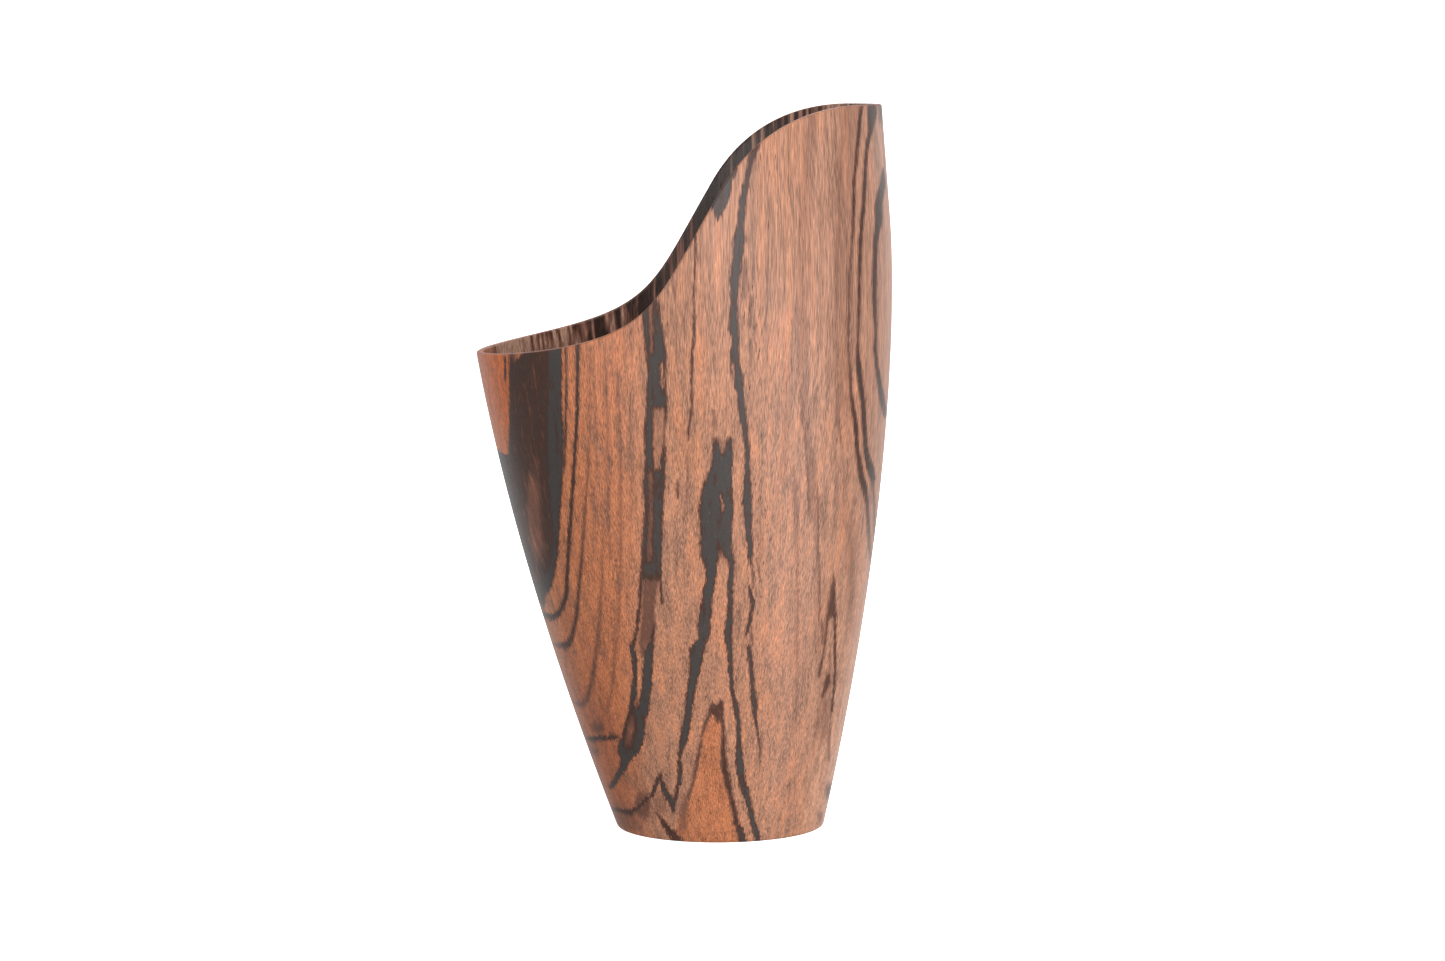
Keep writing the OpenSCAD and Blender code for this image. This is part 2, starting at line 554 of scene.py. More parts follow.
def streak_stops(rows, darkness, fade):
    """Ramp stops for rows of (height, left edge, right edge[, darkness]) in millimetres."""
    stops = [(*row, darkness)[:4] for row in sorted(rows)]
    first, last = stops[0], stops[-1]
    if first[0] > OPEN_END:
        stops.insert(0, (max(first[0] - fade, 0), *first[1:3], 0.0))
    stops.append((last[0] + fade, *last[1:3], 0.0))
    return [(z / FIGURE_HEIGHT, ((left - SPAN_LEFT) / SPAN, (right - SPAN_LEFT) / SPAN, dark))
            for z, left, right, dark in stops]


NUMBER = "NodeSocketFloat"
streak_edges, (across, edges, crisp_left, crisp_right) = begin_group("streak_edges", [
    ("across", NUMBER), ("edges", "NodeSocketColor"), ("crisp_left", NUMBER),
    ("crisp_right", NUMBER)])
left_edge = Wire.node("ShaderNodeSeparateColor", None, {"Color": edges}, output="Red")
past_left = (across - left_edge) * crisp_left
before_right = (left_edge.also("Green") - across) * crisp_right
inside_edges = Wire.sum("ADD", smaller(past_left, before_right), EDGE_SHARE, clamp=True)
end_group(inside_edges * left_edge.also("Blue"))


def strip(x, z, rows, darkness, soft=CRISP):
    """Darkness of one streak at a point, with its own softness on the left and right edges."""
    fade = END_FADE + END_FADE_PER_SOFT * max(0, max(soft) - SOFT_ENDS_FROM)
    ramp = Wire.node("ShaderNodeValToRGB", {"stops": streak_stops(rows, darkness, fade)}, {"Fac": z})
    return use_group(streak_edges, across=x, edges=ramp,
                     crisp_left=SPAN / (HALO * soft[0]), crisp_right=SPAN / (HALO * soft[1]))


def line(points, width):
    """Rows for a thin line through (height, x) points."""
    return [(z, x - width / 2, x + width / 2) for z, x in points]


def streak_group(name, parts):
    """A node group that gives the darkest of several (rows, darkness[, softness]) at a point."""
    group, (x, z) = begin_group(name, [("x", NUMBER), ("z", NUMBER)])
    darkest = None
    for part in parts:
        made = strip(x, z, *part)
        darkest = made if darkest is None else larger(darkest, made)
    end_group(darkest)
    print(name, "holds", len(parts), "streaks in", len(group.nodes), "nodes")
    return group


print("a streak may have up to 30 rows between", SPAN_LEFT, "and", SPAN_LEFT + SPAN, "mm")

# %% [markdown]
# The streaks of the left side. A wide dark band runs down from the low lip between an orange strip
# of sapwood and a set of fine lines, which bend round under it as nested growth rings do.

# %% Streaks of the left side
dark_band = [
    (103, -42.1, -31.4), (96, -42, -31.5), (92, -42.3, -31.6), (86, -42.7, -31.3), (81, -42.9, -31.5),
    (75.5, -43.6, -31.9), (73.5, -60, -32), (70, -60, -32.2), (66, -60, -32.4), (60, -60, -32.8),
    (58, -60, -33.2), (55.5, -60, -33.6), (53.5, -60, -34.2), (51.5, -60, -34.8), (50, -60, -36),
    (48.8, -60, -38)]
band_margin = [
    (103, -34.5, -31.4), (96, -34.6, -31.5), (92, -34.8, -31.6), (84, -35, -31.3), (80, -35, -31.5),
    (75, -35, -31.9), (70, -34.6, -32.2), (66, -34.2, -32.4), (60, -34.4, -32.8), (57, -35, -33.4),
    (55.5, -35.6, -33.6), (53.5, -36.6, -34.2), (51.5, -38.2, -34.8), (50, -40, -36)]
band_left = [
    (103, -42.2, -41.2), (92, -42.4, -41.4), (81, -43, -41.8), (74, -60, -42.2), (70, -60, -41.6),
    (62, -60, -40.2), (55, -60, -38.2), (51, -60, -37)]
ring_lines = [
    (line([(103.5, -30.6), (95, -30.5), (88, -30.8), (82, -31.1), (78, -31.4)], 0.4), 0.75),
    ([(104, -28.4, -27.8), (90, -28.7, -28.1), (83, -29.3, -28.7), (75, -29.9, -29.3),
      (67, -30.5, -29.9), (60, -31, -30.4), (54, -31.4, -30.8), (51.5, -31.6, -30.9), (48, -32.8, -32),
      (46.6, -34.2, -32.6), (45.9, -36.8, -33.2), (45.3, -37, -34)], 0.85),
    ([(103, -25.9, -25.3, 0.3), (88, -26.3, -25.7, 0.35), (76, -26.9, -26.3, 0.42),
      (61, -28.3, -27.5, 0.5), (57, -28.5, -27.7, 0.55), (52, -29.1, -28.4, 0.6),
      (48, -29.5, -28.8, 0.65), (44, -30.4, -29.5, 0.7), (41.5, -31.2, -30.2, 0.7),
      (40.2, -33, -30.6, 0.7), (39.4, -34.5, -31.4, 0.6)], 0.6, (0.5, 0.5)),
    ([(72, -23.9, -23.1, 0.22), (54, -24.4, -23.5, 0.32), (46.5, -25, -24.1, 0.4),
      (42, -25.5, -24.6, 0.45), (36, -26.4, -25.4, 0.5), (31, -27.4, -26.4, 0.5),
      (28, -28.8, -27.4, 0.5), (27, -31, -28, 0.45)], 0.4, (0.6, 0.6)),
    (line([(100, -22.6), (86, -22.5), (70, -22.6), (60, -22.3)], 0.8), 0.34, (0.9, 0.5)),
    (line([(103, -24.9), (88, -24.8), (72, -25.2), (60, -25.6)], 0.6), 0.26, (0.8, 0.5)),
    (line([(98, -20.4), (80, -20), (62, -20.2), (46, -20.8), (34, -22), (27, -23.4)], 0.9), 0.34,
      (0.9, 0.5)),
    (line([(92, -18), (74, -17.8), (60, -18.4), (50, -19.2)], 0.7), 0.26, (0.8, 0.5)),
    (line([(104, -43.1), (99, -43.2)], 0.35), 0.9, (0.3, 0.3))]

dark_edges = streak_group("dark_band_edges", [
    (band_margin, 1.0, (1.4, 0.4)), (band_left, 0.95, (0.5, 1.6))])
ring_group = streak_group("ring_lines", ring_lines)

# %% [markdown]
# The long streak left of the middle is wide at the rim, breaks up half way down and gathers again
# near the foot, where it breaks into wavy lines round a small knot.

# %% Streaks left of the middle and at the lower left
long_streak = [
    (113.5, -14.6, -12.6), (111.5, -15.2, -12.2), (109.5, -15.3, -11.9), (104, -14.9, -11.2),
    (101.5, -14.6, -10.7), (99, -14.3, -10.9), (95.5, -14.5, -11), (92, -14.6, -10.7),
    (91, -14.7, -10.5), (86, -15.2, -11.2), (80.5, -15, -11), (75, -15.4, -11.3), (71, -15, -11.6),
    (64, -15.7, -11.9), (60, -15.9, -12), (57.5, -16.1, -12), (56, -16, -12.2, 0.7)]
lower_left = [
    (long_streak, 0.95, (0.6, 0.5)),
    (line([(58, -15.9), (51, -16.4), (46, -17), (41, -18)], 0.6), 0.8, (0.5, 0.5)),
    (line([(58, -12.2), (54, -12.1), (51.5, -11.9)], 0.5), 0.75),
    ([(57, -15.8, -12.4), (50, -16, -13.4), (43, -16.6, -13.8), (40, -16.4, -14)], 0.5, (0.6, 0.6)),
    ([(47, -13.9, -13.3, 0.6), (43, -14.5, -13.7, 0.9), (41, -15.5, -13.8), (34, -16, -14.2),
      (30, -16.5, -14.6), (28, -17, -14.8), (26.5, -18, -15.4)], 1),
    ([(42, -18.5, -17.7), (40, -18.2, -17.2), (36, -17.7, -17), (33, -18.1, -17.2), (28, -18.7, -16.7),
      (26, -19.3, -15.5), (22, -20.3, -15.8), (19.5, -21.4, -16.7), (17, -20.6, -18.6),
      (15, -21, -19.6), (12, -22.2, -21.3), (10, -23.2, -22.3)], 1),
    ([(21.8, -23, -20.8), (21.1, -25.6, -21.4), (20.4, -27.4, -24.4), (19.7, -27.6, -26)], 0.85,
      (0.6, 0.5)),
    ([(23.4, -26.6, -24), (22.4, -26.6, -24.2)], 0.5, (0.8, 0.8)),
    ([(17.4, -27.4, -25), (16.8, -27.4, -25.4)], 0.4, (0.8, 0.8)),
    ([(9.8, -14.9, -14.2), (8.6, -16, -15), (7.5, -17, -16), (6, -18.2, -17.3), (5.4, -21.4, -17.8),
      (4.6, -22.9, -18.2)], 0.8, (0.5, 0.5)),
    ([(13.9, -13.2, -12.4), (12, -13.9, -13.1), (9.8, -14.7, -14)], 0.9),
    ([(14.4, -12.9, -12.3), (11, -12.2, -11.2), (10.2, -11.9, -10.4), (8.8, -11, -9.4),
      (7.4, -10.4, -9.7), (6.4, -10.1, -9.8)], 1),
    ([(9.4, -17.4, -14.4), (7, -18, -14.6), (5.2, -17.6, -15)], 0.5, (0.9, 0.9)),
    ([(10, -13.8, -11.4), (6.4, -14, -11)], 0.3, (0.8, 0.8)),
    ([(6.2, -13.9, -13.1, 0.5), (4, -12.6, -11.4, 0.8), (2.5, -11.7, -10.1, 0.8),
      (0.8, -10.6, -8.2, 0.7), (0, -10.2, -7.8, 0.7)], 0.7, (0.6, 0.6)),
    ([(4.4, -23, -17.4), (1.4, -22.6, -17)], 0.35, (1.5, 1.5)),
    ([(9.4, -8.4, -6.9), (6, -9, -7.2), (3, -9, -7)], 0.4, (0.9, 0.9))]

lower_left_group = streak_group("lower_left", lower_left)

# %% [markdown]
# The middle holds the strongest figure: a charcoal blade that splits into two legs, a long dark
# streak beside it, and an arch near the foot, where a growth ring is cut across its top.

# %% Streaks of the middle
middle = [
    (line([(126.5, -4.8), (118, -5), (112, -5.2), (106, -5.3), (103.4, -5.5), (102, -5.8), (96, -5.85),
      (91, -5.9), (89, -6.1), (86.5, -6.5), (85, -6.5)], 0.42), 0.7, (0.35, 0.35)),
    (line([(82.4, -6.7), (80, -6.8), (77, -6.6), (73, -6.9)], 0.4), 0.35),
    (line([(75.6, -8.7), (73.4, -8.7)], 0.5), 0.6),
    ([(139, 0.6, 3.6), (137, -1, 3.1), (135, -2, 2.5), (133, -3, 2.1), (131.5, -3, 1.7),
      (130.2, -1.3, 1.1), (129.2, -0.9, 0.5), (128.2, -0.6, -0.1)], 0.95, (0.5, 0.4)),
    ([(144, 6.8, 8.3, 0.6), (142, 6.3, 7.9, 0.8), (140, 5.7, 7, 0.8), (138, 5.4, 6.3, 0.85),
      (136, 5.1, 5.9), (134, 4.5, 5.5), (132, 4.1, 5.3), (128, 3.7, 4.8), (126, 3.3, 4.6),
      (124, 2.7, 4.9), (122, 2.7, 4.6), (120, 2.6, 4.1), (118, 2.2, 4), (116, 1.9, 3.7), (114, 2, 3.5),
      (112, 2.3, 3.3), (110, 2, 3.3), (108, 1.8, 3.4), (106.3, 1.5, 3.5), (105, 2.2, 3.5),
      (103.5, 2.3, 3.5), (102, 1.9, 3.5), (99.5, 1.9, 3.7), (98, 1.9, 4.1), (97, 2.6, 4.3),
      (96, 2.9, 4.4)], 0.92, (0.45, 0.5)),
    ([(97, 2.6, 4.3), (93.5, 3.2, 4.4), (90, 3.5, 4.8), (87, 4.2, 5.2), (85, 4.5, 5.4), (82, 4.9, 5.7),
      (78, 4.7, 5.7), (75, 4.6, 5.8), (72, 4.3, 6), (70, 4.6, 6), (67, 4.7, 5.9), (64, 5.1, 6.2),
      (61, 5.2, 6.1), (59.2, 5.5, 5.9)], 0.95, (0.4, 0.45)),
    (line([(59, 6.2), (56, 6.3), (54, 6.3)], 0.4), 0.6),
    (line([(60, 6.9), (57, 7.5), (55, 8)], 0.4), 0.5),
    ([(54, 5.2, 5.7), (53, 5.4, 6.1), (52, 5.7, 6.5), (50.3, 5.8, 6.6), (49, 5.5, 6.2), (47.5, 5.4, 6),
      (46, 5, 5.7), (44.2, 4.7, 5)], 0.85),
    (line([(46, 5.9), (44, 6), (42.4, 6.3)], 0.35), 0.6),
    ([(41.8, 5.1, 5.9), (40, 5.3, 6.1), (38, 5.6, 6.3), (36, 5.8, 6.5), (34, 5.9, 6.5), (32, 5.9, 6.8),
      (30.5, 6.1, 7.3), (28.5, 6.3, 7.2), (27, 6.5, 7), (24, 7, 7.4, 0.8), (22, 7.4, 7.8, 0.7),
      (20, 7.6, 8, 0.6), (16, 7.6, 8, 0.3)], 0.9, (0.4, 0.5)),
    ([(120, 4.3, 5.4), (113, 4.2, 5.4)], 0.4, (0.7, 0.7)),
    ([(113, 5.5, 6.4), (107, 5.4, 6.3)], 0.42, (0.6, 0.6)),
    ([(104, 5.6, 6.2), (98, 5.7, 6.3)], 0.3, (0.6, 0.6)),
    ([(90.4, -2, -1.2), (86.5, -1.8, -0.8)], 0.4, (0.6, 0.6)),
    ([(76, 7.2, 8), (70, 7.2, 8.2), (64, 7, 8.4), (59, 7.2, 8.2)], 0.25, (0.9, 0.9))]

middle_group = streak_group("middle", middle)
blade = [
    ([(84.4, -1.6, 2.2, 0.8), (83, -1.6, 2.4), (81, -1.7, 2.3), (79, -2, 2.1), (78, -2.4, 2.1),
      (76.5, -3, 2.1), (75, -3.7, 2.2), (73, -4, 2.3), (71, -4.3, 2.4), (70, -4.5, 2.4),
      (68, -4.2, 2.1), (65, -4.1, 2), (62, -4.2, 2), (60.6, -4.1, 2.1), (59.6, -3.6, 2.2)], 1,
      (0.6, 0.4)),
    ([(61, -4.1, -0.9), (59, -3.3, -1), (57, -3, -1.2), (55.5, -3, -1.5), (54, -3.7, -1.7),
      (52, -3.9, -2.1), (50, -4.2, -2.1), (48, -4.5, -2.4), (46, -4.7, -2.4), (44, -4.4, -2.7),
      (43.2, -5.2, -3.1), (42.3, -6.3, -3.5), (40, -6.4, -3.9), (38, -6.4, -4.2), (36, -6.5, -4.7),
      (34.5, -6.8, -5.2), (33, -7, -5.5), (31, -7.3, -5.9), (28, -7.5, -6.2), (25, -8.1, -6.7),
      (22, -8.6, -7.1), (20.5, -8.8, -7.9), (18, -8.9, -8.5), (16, -9, -8.2), (13, -9.1, -8.3),
      (11.5, -9.3, -8.9), (9.6, -9.8, -9.2)], 1, (0.5, 0.5)),
    ([(61, 1.3, 2.3), (58, 1.4, 2.4), (54, 1.1, 2.1), (52, 1.3, 2.1), (50, 1, 2.1), (48, 0.9, 2.2),
      (46, 0.6, 2), (44.5, 0.5, 1.9), (43, 0.8, 1.9), (41, 1.2, 2.1), (38, 1.4, 2.2), (34, 1.8, 2.4),
      (32.5, 1.9, 2.5), (31, 2.1, 2.8), (30, 2.4, 3.4), (28, 2.6, 3.5), (26, 3.1, 3.7), (22, 3.1, 3.9),
      (19, 2.9, 4.1), (16, 3.1, 4.6), (14.5, 3.2, 4.7), (13, 3.5, 4.9), (11.5, 3.9, 5.4),
      (9.3, 4.8, 5.8), (7, 5.2, 6.2), (4.5, 5.7, 6.8), (2, 6.5, 7.6), (0, 7, 7.9)], 1, (0.4, 0.45)),
    ([(30, -2.3, -1.2), (28.5, -2.8, -2), (27, -3.3, -2.7), (26, -3.7, -3), (24, -4.2, -3.8),
      (22, -4.5, -4), (20, -4.9, -4.3), (18, -5.3, -4.8), (16, -5.7, -5.1), (14, -6.1, -5.5),
      (12, -6.5, -5.9, 0.55), (10, -7.3, -6.5, 0.5), (8, -7.9, -7.1, 0.4)], 0.62, (0.5, 0.5)),
    ([(30.4, -0.6, 0.2), (29.5, -2.4, 0.3), (28.2, -2.6, -0.1), (27.2, -1.2, -0.1), (26.4, -0.9, -0.2)],
      0.68, (0.5, 0.5)),
    ([(30.4, -0.1, 0.3), (27, -0.3, 0.3), (25, 0.1, 0.6), (22, 0, 0.7), (20, -0.2, 0.8),
      (18, -0.2, 0.95), (16, 0, 1.2), (14.5, 0.4, 1.7), (13, 0.7, 2), (11.5, 1, 2.2), (10, 1.4, 2.3),
      (8.5, 1.7, 2.7), (7, 1.9, 3), (5.5, 2.2, 3.2), (4, 2.6, 3.5, 0.9), (2.5, 3, 4.4, 0.9),
      (0, 3.6, 5, 0.9)], 0.75, (0.6, 0.5))]

blade_group = streak_group("blade", blade)

# %% [markdown]
# On the tall side the wood is nearly quarter sawn, so its streaks are long and almost straight. The
# soft ones have one crisp edge and fade out on the other side, which is how a growth ring ends. The
# squiggles are not streaks but areas where open pores are filled with dark wax.

# %% Streaks of the tall side
tall_side = [
    ([(150, 17.6, 18.8), (135, 16.2, 17.8), (118, 15.4, 17), (100, 14.8, 16.6)], 0.3, (2.4, 0.6)),
    ([(150, 24.6, 28.6), (130, 23.6, 27.6), (105, 23.2, 26.6), (88, 23.6, 26.6)], 0.24, (1, 0.8)),
    ([(149, 18.5, 19.6), (140, 18, 19.1), (133, 17.6, 18.6), (125, 17.2, 18.2), (120, 16.9, 17.9),
      (113, 16.6, 17.6), (106, 16.2, 17.3), (100, 16.1, 17.2), (96, 16.2, 17.3)], 0.27, (1.3, 0.3)),
    ([(97, 16.2, 17.3), (94, 15.9, 17.5), (91, 15.8, 17.5), (88, 16.1, 17.6), (86, 16.5, 17.9),
      (82, 16.8, 18.5), (79, 17, 19.1), (76, 17.2, 19.4), (72, 17.3, 19.4), (67, 17.6, 19.5)], 0.3,
      (0.5, 0.7)),
    (line([(95, 16.1), (91, 16), (88, 16.3), (86, 16.7), (84, 16.8), (81, 17.1), (78, 17.3), (75, 17.5),
      (69, 17.6)], 0.45), 0.5, (0.4, 0.6)),
    (line([(74, 19.3), (68, 19.5), (61, 19.6), (58, 19.8), (53, 19.9), (50, 20), (46, 19.8)], 0.4), 0.5,
      (0.6, 0.3)),
    ([(69, 18.6, 19.6), (58, 18.9, 19.8), (44, 18.6, 20.4), (38, 18.8, 20.6)], 0.22, (0.8, 0.5)),
    ([(150, 25, 26.2), (145, 24.6, 25.6), (140, 23.8, 24.9), (135, 23.5, 24.6), (125, 23.1, 24.2),
      (115, 22.9, 23.9), (105, 23, 23.9), (90, 23.1, 24.1), (85, 23.4, 24.3), (81, 24.2, 24.8),
      (78, 24.5, 25), (71, 24.8, 25.2), (65, 25.1, 25.5)], 0.33, (0.9, 0.5)),
    ([(150, 28.7, 29.3), (147, 28.1, 28.8), (144, 27.9, 28.5), (141, 27.5, 28.1), (138, 27.3, 27.9),
      (135, 27, 27.5), (128, 26.8, 27.3), (122, 26.5, 26.9, 0.65), (116, 26, 26.4, 0.65),
      (106, 25.7, 26.2, 0.6), (99, 25.8, 26.3, 0.6), (93, 26.2, 26.7, 0.65), (90, 26.5, 27.1),
      (86, 27, 27.9), (84, 27.3, 28.1), (81, 27.4, 28.2), (79, 27.8, 28.6), (77, 28.1, 29),
      (75, 28.2, 29.2), (73, 28.8, 30), (71, 29.2, 30.3)], 0.8, (0.5, 0.45)),
    ([(150, 30.4, 32.4), (148, 30.4, 32.4), (146, 30.5, 31.9), (144.4, 30.4, 31.3), (143, 30.1, 30.8),
      (141, 29.7, 30.3), (136, 29.3, 29.9), (130, 29, 29.6), (127, 28.6, 29.2), (121, 28.1, 28.7),
      (110, 28, 28.4), (103, 27.8, 28.2, 0.7), (100, 27.7, 28.3), (97, 27.7, 28.8), (94, 28.2, 29),
      (90, 28.8, 29.5), (84, 29, 29.8), (81, 29.2, 30), (79, 29.4, 30.5), (77.5, 29.8, 31),
      (76, 30.1, 31.6), (73.6, 31, 32)], 0.88, (0.5, 0.45)),
    ([(150, 32.8, 34.4), (147, 33, 34.4)], 0.55, (0.8, 0.8)),
    ([(136.5, 33.6, 34.2, 0.7), (134, 33.1, 34.3), (132, 32.4, 33.9), (130, 31.9, 33.4),
      (126, 31.8, 33.3), (124, 31.6, 32.6), (122, 31.4, 32.2), (112, 31.2, 31.9), (108, 31.4, 31.9),
      (104, 31.6, 32, 0.75), (101, 31.4, 31.9), (97, 31.8, 32.4), (93, 32.4, 33.3), (91, 32.7, 33.8),
      (89, 33.1, 34.2), (86, 34, 34.8, 0.6)], 0.9, (0.5, 0.5)),
    ([(71, 29.3, 30.3), (68, 30, 30.5), (61, 30.6, 31.1), (56, 30.9, 31.4, 0.4)], 0.7, (0.6, 0.5)),
    ([(74, 31, 31.7), (67, 31.7, 32.1), (60, 32, 32.5)], 0.6, (0.6, 0.5)),
    ([(78, 14.1, 14.8), (75, 14, 15.3), (71, 14.3, 15.6), (66, 14.9, 15.6), (60, 15.1, 15.7),
      (50, 15, 15.6), (42, 14.9, 15.5), (34, 14.9, 15.5), (26, 14.7, 15.2), (23.6, 14.8, 15.4)], 0.36,
      (0.9, 0.5)),
    ([(98, 12.9, 13.3), (92, 12.4, 13.4), (86, 12.2, 13.4), (80, 12.2, 13.2), (75, 12.3, 13)], 0.28,
      (1.2, 0.5)),
    ([(65, 25.2, 27.6), (58, 25.4, 27.8), (50, 25.5, 28), (43, 25.6, 27.6)], 0.3, (1.8, 1.8)),
    ([(55.2, 22.6, 23.1, 0.5), (52, 22.2, 23.25), (50, 21.9, 23.25), (48, 21.6, 23.25),
      (46.6, 21.5, 23.2)], 0.62, (0.6, 0.35)),
    ([(47, 21.4, 22), (44, 21.1, 21.6), (40, 20.8, 21.2), (38, 20.5, 20.9), (36, 19.9, 20.6),
      (34.4, 19.8, 20.3)], 0.62, (0.5, 0.4)),
    ([(45.4, 20.2, 20.9), (41, 20.4, 21)], 0.5, (0.6, 0.6)),
    (line([(47, 23.2), (42, 23.2), (38, 23.3), (35, 23.4), (32, 23.3), (30, 23.2), (26, 22.8)], 0.42),
      0.82, (0.4, 0.35)),
    ([(33.8, 21.3, 22.4), (32.5, 21, 22.6), (31, 20.8, 21.8), (29.6, 20.3, 21)], 0.62, (0.7, 0.7)),
    ([(38.4, 22, 22.35), (35.6, 22, 22.35)], 0.5),
    ([(34, 20.4, 23.2), (27, 20, 22.9), (21, 19.6, 22.6)], 0.3, (1.2, 0.6)),
    (line([(26, 22.6), (22, 22.4), (15.4, 22.3)], 0.5), 0.5, (0.7, 0.5)),
    (line([(30, 20.4), (27, 20), (24, 19.6), (21, 19.1), (17, 18.9)], 0.6), 0.3, (0.8, 0.6)),
    (line([(12.4, 13.9), (10, 13.9)], 0.5), 0.35, (0.5, 0.5)),
    ([(8.8, 21.7, 23.2), (6.8, 21.9, 23)], 0.55, (0.8, 0.8)),
    ([(3.4, 20.2, 21.2), (1.6, 20, 21)], 0.4, (0.7, 0.7))]

squiggles = [
    ([(114, 4.6, 8.6), (104, 5.2, 8.8), (96, 4.6, 8)], 1, (1.5, 1.5)),
    ([(79, 5.4, 8.4), (70, 5.8, 8.8), (58, 5.2, 8.6), (52, 5.2, 8)], 1, (1.5, 1.5)),
    ([(88, -1.6, 1.6), (58, -1.2, 2)], 0.6, (1, 1)),
    ([(139, 7.5, 11), (124, 7, 9.5)], 0.7, (2, 2))]
tall_group = streak_group("tall_side", tall_side)
squiggle_group = streak_group("squiggles", squiggles)

# %% [markdown]
# Light flecks interrupt the dark streaks where the pale wood shows through, and two areas of the
# ground have a colour of their own: the orange sapwood strip at the left and the warm inside of the
# arch. Two more areas are painted light: a darker corner at the lower left is painted shade, and a
# pale edge at the lower right is a painted reflection of the bright floor.

# %% Flecks, warm areas, painted shade and a painted reflection
flecks = [
    (line([(99.4, -11.6), (95.4, -11.6)], 0.6), 0.9),
    ([(112, -14.2, -13.4), (102, -14, -13.3)], 0.5),
    ([(90.4, -13.4, -11.1), (84, -13.5, -11.3), (78.8, -13.3, -12.2)], 0.7, (0.5, 0.5)),
    ([(78, -14.5, -13.5), (70, -14.4, -13.6), (60, -15, -13.9)], 0.45),
    (line([(30.6, -17.3), (29.2, -17.4)], 0.6), 0.7),
    (line([(99.4, 2.4), (97.6, 2.5)], 0.5), 0.8),
    ([(84.6, -0.5, 1.1), (82.2, -0.1, 0.7)], 0.8, (0.5, 0.5)),
    (line([(77, -1.2), (75.8, -1.3)], 0.5), 0.35),
    (line([(73, 0), (71.4, 0.4), (70.4, 0.3)], 0.4), 0.8),
    ([(61.6, -0.4, 0.3, 0.4), (60.2, -0.7, 1.2, 0.7), (58, -0.7, 1.5, 0.9)], 0.6, (0.5, 0.5)),
    ([(78, -38.6, -36.8, 0.2), (74, -39.2, -36.3), (66, -39.4, -36.2), (60, -38.6, -36),
      (57.6, -37.6, -36.2, 0.3)], 0.42, (0.9, 0.9)),
    ([(27, -18.6, -17.6, 0.4), (24, -19.2, -17.4), (20.5, -20, -18.2, 0.45)], 0.55, (0.7, 0.7))]
sapwood = [
    (104, -62, -42.2), (96, -62, -42.1), (92, -62, -42.4), (86, -62, -42.8), (81, -62, -43),
    (75.4, -62, -43.8), (73.6, -62, -46)]
arch_inside = [
    (28, -1.8, -0.3), (26, -2.9, 0), (24, -3.8, 0.1), (20, -4.3, -0.2), (16, -5.1, 0), (12, -5.9, 1),
    (8, -7.3, 1.8), (4, -9, 2.6), (0, -9.5, 3.6)]
# Painted reflection: a paler edge of the ground at the lower right, standing in for the bright floor
# reflected there.
painted_floor_reflection = [(64, 25, 46, 0.1), (46, 24, 46), (20, 20, 46, 0.7), (0, 17, 46, 0.7)]
# Painted shade: a darker corner of the ground at the lower left, standing in for the shade there.
painted_shade_corner = [(27, -34, -21, 0.4), (22, -34, -20), (14, -30, -20), (6, -28, -19), (0, -26, -17)]
fleck_group = streak_group("flecks", flecks)

# %% [markdown]
# The rest of the figure is noise. Slow noise makes the streaks wander, and quick noise that is long
# in the direction of the fibres frays their edges and ends. Fibres and short open pores, which the
# lathe leaves as fine lines along the grain, are noise of the same kind. At the left the figure
# drops as it runs backwards, so the lower edge of the sapwood arches over the side.

# %% Place the figure in the wood
wood, place = begin_finish("figured_rosewood")
x_mm = Wire.node("ShaderNodeSeparateXYZ", None, {"Vector": place})
y_mm = x_mm.also("Y")
z_mm = x_mm.also("Z")

wander = grain_noise(place, (8.0, 8.0, 40.0), detail=1.0) * 0.5
fray = grain_noise(place, (0.30, 0.30, 2.0), detail=2.0) * 1.1
finger = grain_noise(place, (0.30, 0.30, 5.0), detail=1.0) * 2.6
x = (x_mm + wander + fray - SPAN_LEFT) / SPAN
arch = y_mm * y_mm * 0.008 * soft_step(0.0 - x_mm, 37.0, 43.0)
z = (z_mm + finger + arch) / FIGURE_HEIGHT
behind = soft_step(y_mm, 1.0, 16.0)
ahead = 1 - behind

fibre = grain_noise(place, (0.25, 0.25, 5.5), detail=2.0, roughness=0.6)
fine_fibre = grain_noise(place, (0.17, 0.17, 3.4), detail=1.0)
soft_bands = grain_noise(place, (1.7, 1.7, 90.0), detail=3.0, roughness=0.65)
patch = grain_noise(place, (5.0, 5.0, 55.0), detail=3.0, roughness=0.6)
pores = soft_step(grain_noise(place, (0.24, 0.24, 3.2), detail=1.0), 0.15, 0.25)
glints = soft_step(grain_noise(place, (0.22, 0.22, 1.6), detail=1.0), 0.17, 0.28)
ink_bands = grain_noise(place, (1.1, 1.1, 22.0), detail=2.0, roughness=0.6)
print("fibres, bands, patches, pores and glints are laid")

# %% Darken the streaks of the front
band_share = strip(x, z, dark_band, 1.0, (0.5, 0.4))
band_tone = 0.8 + ink_bands * 1.3 + fibre * 0.6
front = held(band_share * band_tone)
for group in (dark_edges, ring_group, lower_left_group, middle_group, blade_group, tall_group):
    front = larger(front, use_group(group, x=x, z=z))
front = larger(front, use_group(squiggle_group, x=x, z=z) * pores * 0.95)
front = front * (1 - use_group(fleck_group, x=x, z=z)) * ahead
print("with the front's streaks the wood has", len(wood.node_tree.nodes), "nodes")

# %% [markdown]
# Behind the middle of the cup, which no single view shows together with the front, the figure is a
# different one. Near the rim it is a row of upright bars of varying darkness, darker across the
# middle, partly from dark wood and partly as painted shade where the far inside wall lies in the
# cup's shadow. Lower down it turns into contour lines of slow noise, which close round each other
# like the growth rings of a plain sawn board.

# %% Darken the bars and rings of the back
BAR_PALE = (0.60, 0.36, 0.26)
BAR_BROWN = (0.22, 0.10, 0.07)
BAR_DARK = (0.035, 0.020, 0.015)

